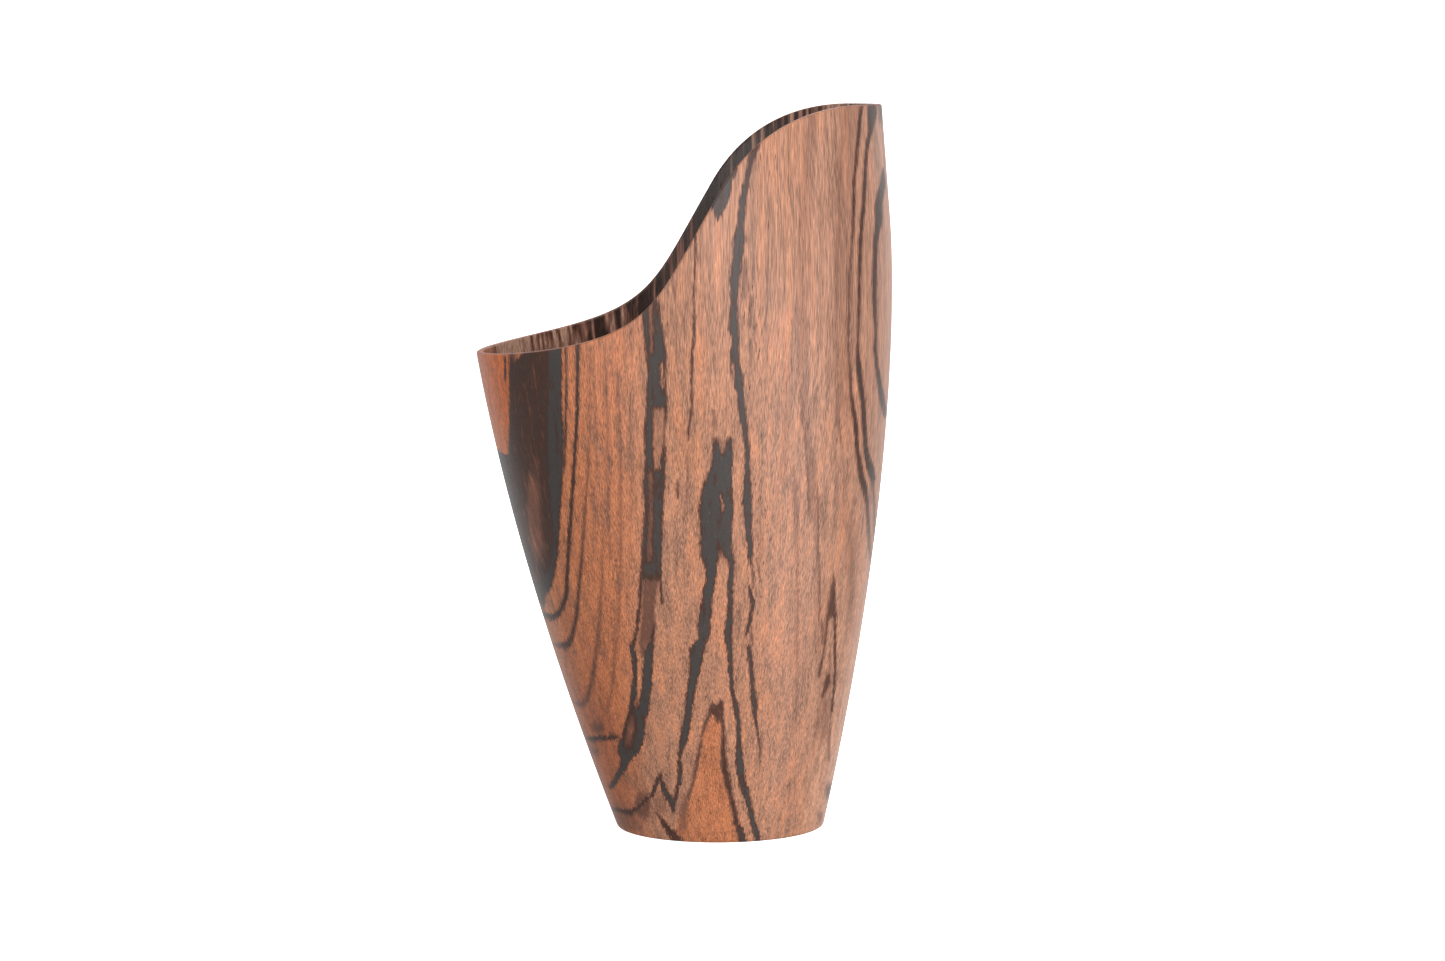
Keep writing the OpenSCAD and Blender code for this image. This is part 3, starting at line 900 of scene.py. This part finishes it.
low_share = 1 - soft_step(z_mm, 50.0, 100.0)
drift = grain_noise(place, (60.0, 60.0, 70.0), detail=1.0) * 34.0 * low_share
fine_bars = grain_noise(place, (1.4, 1.4, 120.0), detail=2.0) * 2.4
wide_bars = grain_noise(place, (9.0, 9.0, 200.0), detail=1.0) * 1.2
# Painted shade: the bars are darkened across the middle, partly for dark wood and partly for the shadow
# that falls on the far inside wall.
painted_shade_middle = soft_step(x_mm, -34.0, -22.0) * (1 - soft_step(x_mm, 2.0, 24.0) * 0.5) * 0.55
bar_shade = 0.30 + fine_bars + wide_bars + painted_shade_middle
bars = blended(soft_step(bar_shade, 0.1, 0.6), BAR_PALE, BAR_BROWN)
bars = blended(soft_step(bar_shade, 0.5, 0.9), bars, BAR_DARK)

rings_place = Wire.node("ShaderNodeCombineXYZ", None,
                        {"X": x_mm + drift * 0.5, "Y": y_mm * 0.8, "Z": z_mm})
contours = grain_noise(rings_place, (17.0, 30.0, 110.0), detail=1.5, roughness=0.45) * 9.0
ring_step = Wire.sum("FRACT", contours + x_mm * 0.06 + fray * 0.1 + 20.0)
ring_width = grain_noise(place, (14.0, 14.0, 60.0), detail=1.0) * 1.1 + 0.14
ring_dark = soft_step(ring_step, 0.0, 0.05) * (1 - soft_step(ring_step, ring_width, ring_width + 0.18))
faint_ring = soft_step(ring_step, 0.35, 1.0) * 0.3
rings_tone = larger(ring_dark * 0.96, faint_ring)
darkness = front + rings_tone * behind * low_share
print("the wood uses", len(wood.node_tree.nodes), "nodes so far")

# %% [markdown]
# The colour goes from the salmon ground through brown to charcoal as the darkness grows. The ground
# is redder at the left and paler at the right, partly in the wood and partly as painted sheen where
# the satin finish catches the light. Noise moves it between orange and a greyer pink.
# Single fibres are lighter or darker. On the rim the fibres are cut across and take up more oil, so
# the end grain is redder.

# %% Colour the ground of the wood
GROUND_ORANGE = (0.500, 0.180, 0.080)
GROUND_GREY = (0.330, 0.175, 0.120)
SAPWOOD = (0.620, 0.150, 0.038)
ARCH = (0.470, 0.150, 0.058)
# The next two colours are painted light: the brown is painted shade at the lower left, and the pink is a
# painted reflection of the floor at the lower right.
PAINTED_SHADE_BROWN = (0.330, 0.080, 0.028)
PAINTED_REFLECTION_PINK = (0.640, 0.320, 0.200)
BROWN = (0.145, 0.060, 0.040)
DARK_BROWN = (0.062, 0.024, 0.014)
CHARCOAL = (0.057, 0.049, 0.046)
PALE_FIBRE = (0.700, 0.360, 0.190)
END_GRAIN = (0.330, 0.100, 0.045)

# The paler, greyer ground at the right is partly the wood's colour and partly painted sheen, where the
# satin finish catches the light.
GROUND_LEFT = (0.52, 0.18, 0.08)
GROUND_MIDDLE = (0.43, 0.20, 0.12)
GROUND_RIGHT_WITH_PAINTED_SHEEN = (0.46, 0.23, 0.15)
ground = blended(soft_step(x_mm, -22.0, -12.0), GROUND_LEFT, GROUND_MIDDLE)
ground = blended(soft_step(x_mm, 14.0, 20.0), ground, GROUND_RIGHT_WITH_PAINTED_SHEEN)
warmth = soft_bands * 2.8 + patch * 1.3 + fibre * 0.7
ground = blended(held(warmth) * 0.8, ground, GROUND_ORANGE)
ground = blended(held(0.0 - warmth) * 0.8, ground, GROUND_GREY)
ground = blended(strip(x, z, sapwood, 1.0, (0.5, 0.5)) * ahead * 0.9, ground, SAPWOOD)
ground = blended(strip(x, z, arch_inside, 0.75, (0.8, 0.8)) * ahead, ground, ARCH)
# Painted shade darkens the ground in the lower left corner.
ground = blended(strip(x, z, painted_shade_corner, 0.55, (3.0, 5.0)) * ahead, ground, PAINTED_SHADE_BROWN)
# A painted reflection pales the ground along the lower right edge.
ground = blended(strip(x, z, painted_floor_reflection, 0.5, (3.0, 3.0)) * ahead, ground, PAINTED_REFLECTION_PINK)
ground = blended(glints * 0.55, ground, PALE_FIBRE)
tone = 1.0 + fibre * 1.4 + fine_fibre * 1.5 + soft_bands * 1.3
tone_colour = Wire.node("ShaderNodeCombineColor", None, {"Red": tone, "Green": tone, "Blue": tone})
ground = blended(1.0, ground, tone_colour, way="MULTIPLY")
# Of the four areas, the darker lower left corner is painted shade and the pale lower right edge is a
# painted reflection.
print("the ground goes through three colours and has four areas of its own")

# %% Add the streaks and finish the wood
GLOSS = 0.42
uneven_ink = held(1.02 - fibre * 0.7 - ink_bands * 1.1) * darkness
shade = held(uneven_ink + pores * 0.3 * (1 - darkness))
wood_colour = blended(soft_step(shade, 0.03, 0.6), ground, BROWN)
wood_colour = blended(soft_step(shade, 0.42, 0.8), wood_colour, DARK_BROWN)
wood_colour = blended(soft_step(shade, 0.74, 1.0), wood_colour, CHARCOAL)
wood_colour = blended(glints * darkness * 0.12, wood_colour, PALE_FIBRE)
bars = blended(1.0, bars, tone_colour, way="MULTIPLY")
wood_colour = blended(behind * (1 - low_share), wood_colour, bars)

facing = Wire.node("ShaderNodeNewGeometry", output="Normal")
upward = Wire.node("ShaderNodeSeparateXYZ", None, {"Vector": facing}, output="Z")
wood_colour = blended(soft_step(upward, 0.25, 0.7) * 0.5, wood_colour, END_GRAIN)

roughness = 0.38 + fibre * 0.15 + pores * 0.12
relief = fibre * 0.5 + fine_fibre * 0.35 - pores * 0.8
end_finish(wood_colour, relief, 0.05 * MM, Roughness=roughness, IOR=1.5,
           Specular_IOR_Level=GLOSS)
paint(shell, wood)
print("the finished wood has", len(wood.node_tree.nodes), "nodes")

# %% [markdown]
# ## The felt mat
# A disc of wool felt lies on the floor of the cup, so that nibs and pen ends don't mark the wood
# or chip. It is cut from a flat sheet, so its edge is a clean vertical cut with soft corners, and its
# top is slightly uneven because felt is never pressed quite flat.

# %% Build the felt mat
DISC_COLUMNS = 160
DISC_RINGS = 22
CORNER_CUT = 0.3


def disc(name, centre, radius, low, high, edge, lumps):
    """A flat disc with softened edges and a slightly uneven top, as a closed skin."""
    way = np.linspace(0, 2 * math.pi, DISC_COLUMNS, endpoint=False)
    cut = CORNER_CUT * edge
    profile = [(radius * i / DISC_RINGS, high) for i in range(1, DISC_RINGS)]
    profile += [(radius - edge, high), (radius - cut, high - cut), (radius, high - edge)]
    profile += [(radius, (low + high) / 2), (radius, low + edge), (radius - cut, low + cut)]
    profile += [(radius - edge, low)]
    profile += [(radius * i / 4, low) for i in (3, 2, 1)]
    points = [(centre.x, centre.y, high - lumps * 0.5)]
    for out, z in profile:
        x, y = out * np.cos(way), out * np.sin(way)
        uneven = (np.sin(x * 390 + 1) * np.cos(y * 310 + 2) + np.sin(x * 170 - y * 230)) * 0.25 - 0.5
        height = z + np.where(z > low + edge, lumps * uneven, 0)
        points += [tuple(p) for p in np.stack([centre.x + x, centre.y + y, height], axis=1)]
    points.append((centre.x, centre.y, low))
    faces = [(0, 1 + j, 1 + (j + 1) % DISC_COLUMNS) for j in range(DISC_COLUMNS)]
    for i in range(len(profile) - 1):
        here, there = 1 + i * DISC_COLUMNS, 1 + (i + 1) * DISC_COLUMNS
        for j in range(DISC_COLUMNS):
            k = (j + 1) % DISC_COLUMNS
            faces.append((here + j, there + j, there + k, here + k))
    last = 1 + (len(profile) - 1) * DISC_COLUMNS
    faces += [(len(points) - 1, last + (j + 1) % DISC_COLUMNS, last + j) for j in range(DISC_COLUMNS)]
    return mesh_object(name, points, faces, sharp_angle=50)


mat_low, mat_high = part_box("nib_mat")
mat_radius = (mat_high.x - mat_low.x) / 2
mat_centre = (mat_low + mat_high) / 2
felt_mat = disc("felt_mat", mat_centre, mat_radius, mat_low.z, mat_high.z, 0.35 * MM, 0.18 * MM)
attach(felt_mat, "root")
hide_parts("nib_mat")
print("felt mat:", round(2 * mat_radius / MM, 1), "mm across")

# %% Finish the felt
felt, place = begin_finish("wool_felt")
clumps = grain_noise(place, (1.6, 1.6, 1.6), detail=4.0, roughness=0.65)
hairs = grain_noise(place, (0.22, 0.9, 0.5), detail=2.0)
cross_hairs = grain_noise(place, (0.9, 0.2, 0.5), detail=2.0)
fuzz = larger(hairs, cross_hairs)
felt_colour = blended(held(0.5 + clumps * 1.6), (0.018, 0.032, 0.022), (0.050, 0.072, 0.050))
felt_colour = blended(held(fuzz * 1.6), felt_colour, (0.15, 0.18, 0.14))
end_finish(felt_colour, clumps + fuzz * 0.9, 0.35 * MM, Roughness=0.93, Sheen_Weight=0.35,
           Sheen_Roughness=0.6)
paint(felt_mat, felt)

# %% [markdown]
# ## The leather foot pad
# Under the foot a leather disc is let in level with the wood. It hides the weight and keeps the cup
# from scratching a desk. The grain side faces down, where it shows.

# %% Build the foot pad
pad_low, pad_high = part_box("foot_pad")
pad_radius = (pad_high.x - pad_low.x) / 2
pad_centre = (pad_low + pad_high) / 2
leather_pad = disc("leather_foot_pad", pad_centre, pad_radius, pad_low.z, pad_high.z,
                   0.3 * MM, 0.05 * MM)
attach(leather_pad, "root")
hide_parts("foot_pad")
print("foot pad:", round(2 * pad_radius / MM, 1), "mm across")

# %% Finish the leather
leather, place = begin_finish("grained_leather")
bend = grain_noise(place, (2.0, 2.0, 2.0), detail=2.0)
bend_way = Wire.node("ShaderNodeCombineXYZ", None, {"X": bend, "Y": bend * -1.0})
shifted = vector_sum("ADD", place, bend_way)
cells = Wire.node("ShaderNodeTexVoronoi", {"feature": "DISTANCE_TO_EDGE"},
                  {"Vector": shifted, "Scale": 0.95}, output="Distance")
creases = 1 - soft_step(cells, 0.0, 0.14)
handling = grain_noise(place, (12.0, 12.0, 12.0), detail=3.0)
leather_colour = blended(held(0.5 + handling * 1.4), (0.070, 0.024, 0.010), (0.125, 0.047, 0.020))
leather_colour = blended(creases * 0.65, leather_colour, (0.022, 0.009, 0.005))
end_finish(leather_colour, (1 - creases) + handling * 0.4, 0.12 * MM, Roughness=0.52 + creases * 0.2,
           Coat_Weight=0.08, Coat_Roughness=0.35)
paint(leather_pad, leather)

# %% [markdown]
# ## The hidden pieces
# The floor plug is a plain straight-grained piece of the same kind of wood. The weight is a steel
# disc faced on a lathe, so it carries fine circular tool marks, and three brass wood screws hold it
# up against the plug. Their solids are exact already, so they stay and only take a finish.

# %% Finish the floor plug
plug_wood, place = begin_finish("plain_brown_wood")
year_rings = grain_noise(place, (1.6, 40.0, 60.0), detail=2.0)
rays = soft_step(grain_noise(place, (0.5, 2.4, 0.5), detail=1.0), 0.12, 0.24)
plug_fibre = grain_noise(place, (0.3, 3.5, 0.3), detail=2.0)
plug_brown = blended(held(0.5 + year_rings * 1.5), (0.33, 0.160, 0.092), (0.46, 0.235, 0.145))
plug_brown = blended(rays * 0.5, plug_brown, (0.21, 0.095, 0.052))
plug_brown = blended(held(0.1 + plug_fibre * 0.8), plug_brown, (0.26, 0.125, 0.072))
end_finish(plug_brown, plug_fibre - rays * 0.3, 0.06 * MM, Roughness=0.6 + plug_fibre * 0.15)
paint(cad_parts["floor_plug"], plug_wood)

# %% Finish the steel weight
steel, place = begin_finish("faced_steel")
steel_xyz = Wire.node("ShaderNodeSeparateXYZ", None, {"Vector": place})
flat_place = Wire.node("ShaderNodeCombineXYZ", None, {"X": steel_xyz, "Y": steel_xyz.also("Y")})
from_centre = Wire.node("ShaderNodeVectorMath", {"operation": "LENGTH"}, {0: flat_place}, output="Value")
tool_marks = Wire.sum("SINE", from_centre * 21.0)
stain = grain_noise(place, (3.0, 3.0, 3.0), detail=4.0, roughness=0.6)
steel_colour = blended(held(0.5 + stain * 2.0), (0.45, 0.45, 0.46), (0.60, 0.60, 0.60))
steel_colour = blended(soft_step(stain, 0.14, 0.3) * 0.5, steel_colour, (0.22, 0.15, 0.10))
end_finish(steel_colour, tool_marks + stain, 0.02 * MM, Metallic=1.0, Roughness=0.34 + stain * 0.25)
paint(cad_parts["ballast_disc"], steel)

# %% Finish the brass screws
brass, place = begin_finish("dull_brass")
tarnish = grain_noise(place, (1.2, 1.2, 1.2), detail=4.0, roughness=0.6)
brass_colour = blended(held(0.5 + tarnish * 2.0), (0.56, 0.36, 0.12), (0.80, 0.58, 0.26))
end_finish(brass_colour, tarnish, 0.02 * MM, Metallic=1.0, Roughness=0.33 + tarnish * 0.3)
paint(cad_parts["ballast_screws"], brass)

# %% [markdown]
# ## Studio
# The cup stands on a seamless pale sheet. The sheet glows, so it closes off the view in plain white,
# but it lends no light and takes no shadow. A dim white room fills in from everywhere, and soft
# boxes at the front give the satin wood its sheen. One box behind the cup lights the far inside
# wall, and two weak level ones there draw the pale lines along its outlines, as the sheet would.

# %% Lay the seamless floor
SWEEP_BACK = 2.2
SWEEP_RADIUS = 1.0
SWEEP_TOP = 3.0
SWEEP_HALF_WIDTH = 3.0
SWEEP_FRONT = -3.0
SWEEP_STEPS = 24

sweep_line = [(SWEEP_FRONT, 0.0), (SWEEP_BACK - SWEEP_RADIUS, 0.0)]
for step in range(1, SWEEP_STEPS + 1):
    angle = math.pi / 2 * step / SWEEP_STEPS
    sweep_line.append((SWEEP_BACK - SWEEP_RADIUS + SWEEP_RADIUS * math.sin(angle),
                       SWEEP_RADIUS * (1 - math.cos(angle))))
sweep_line.append((SWEEP_BACK, SWEEP_TOP))
sweep_points = [(side * SWEEP_HALF_WIDTH, y, z) for y, z in sweep_line for side in (-1, 1)]
sweep_faces = [(2 * i, 2 * i + 1, 2 * i + 3, 2 * i + 2) for i in range(len(sweep_line) - 1)]
sweep = mesh_object("studio_sweep", sweep_points, sweep_faces)

paper, place = begin_finish("white_paper")
paper_cloud = held(0.5 + grain_noise(place, (60.0, 60.0, 60.0)))
paper_tone = blended(paper_cloud, (0.90, 0.90, 0.90), (0.93, 0.93, 0.93))
end_finish(paper_tone, None, Roughness=0.9, Emission_Color=(1, 1, 1, 1), Emission_Strength=1.2)
paint(sweep, paper)
sweep.visible_diffuse = False
sweep.visible_glossy = False
sweep.visible_shadow = False

# %% Light the studio
ROOM_STRENGTH = 0.31
LIGHT_DISTANCE = 1.2

scene = bpy.context.scene
room = bpy.data.worlds.new("dim_room")
room.use_nodes = True
room.node_tree.nodes["Background"].inputs["Color"].default_value = (1, 1, 1, 1)
room.node_tree.nodes["Background"].inputs["Strength"].default_value = ROOM_STRENGTH
scene.world = room
scene.view_settings.view_transform = "Standard"


def soft_light(name, turn, lift, size, brightness):
    """A soft box of this (width, height) that faces the cup, turned right and lifted in degrees."""
    data = bpy.data.lights.new(name, "AREA")
    data.shape = "RECTANGLE"
    data.size, data.size_y = size
    data.energy = brightness * math.pi * size[0] * size[1]
    lamp = bpy.data.objects.new(name, data)
    middle = (cad_low + cad_high) / 2
    turn, lift = math.radians(turn), math.radians(lift)
    way = Vector((math.sin(turn) * math.cos(lift), -math.cos(turn) * math.cos(lift), math.sin(lift)))
    lamp.location = middle + way * LIGHT_DISTANCE
    lamp.rotation_euler = (-way).to_track_quat("-Z", "Y").to_euler()
    lamp.visible_camera = False
    scene.collection.objects.link(lamp)
    print(name, "gives", round(data.energy, 1), "watts")


# Each light's name, turn, lift, size in metres and brightness.
for light in [
        ("left_box", -42, 0, (0.6, 0.8), 2.8),
        ("front_box", 0, 12, (0.7, 0.7), 1.7),
        ("key_box", 28, 5, (0.6, 0.8), 3.3),
        ("high_box", 40, 55, (0.9, 0.9), 2.0),
        ("side_box", 60, -14, (0.5, 0.7), 4.0),
        ("back_box", 180, 40, (0.7, 0.7), 2.6),
        ("back_right_box", 152, -4, (0.7, 0.8), 0.7),
        ("back_left_box", -152, -4, (0.7, 0.8), 0.5)]:
    soft_light(*light)
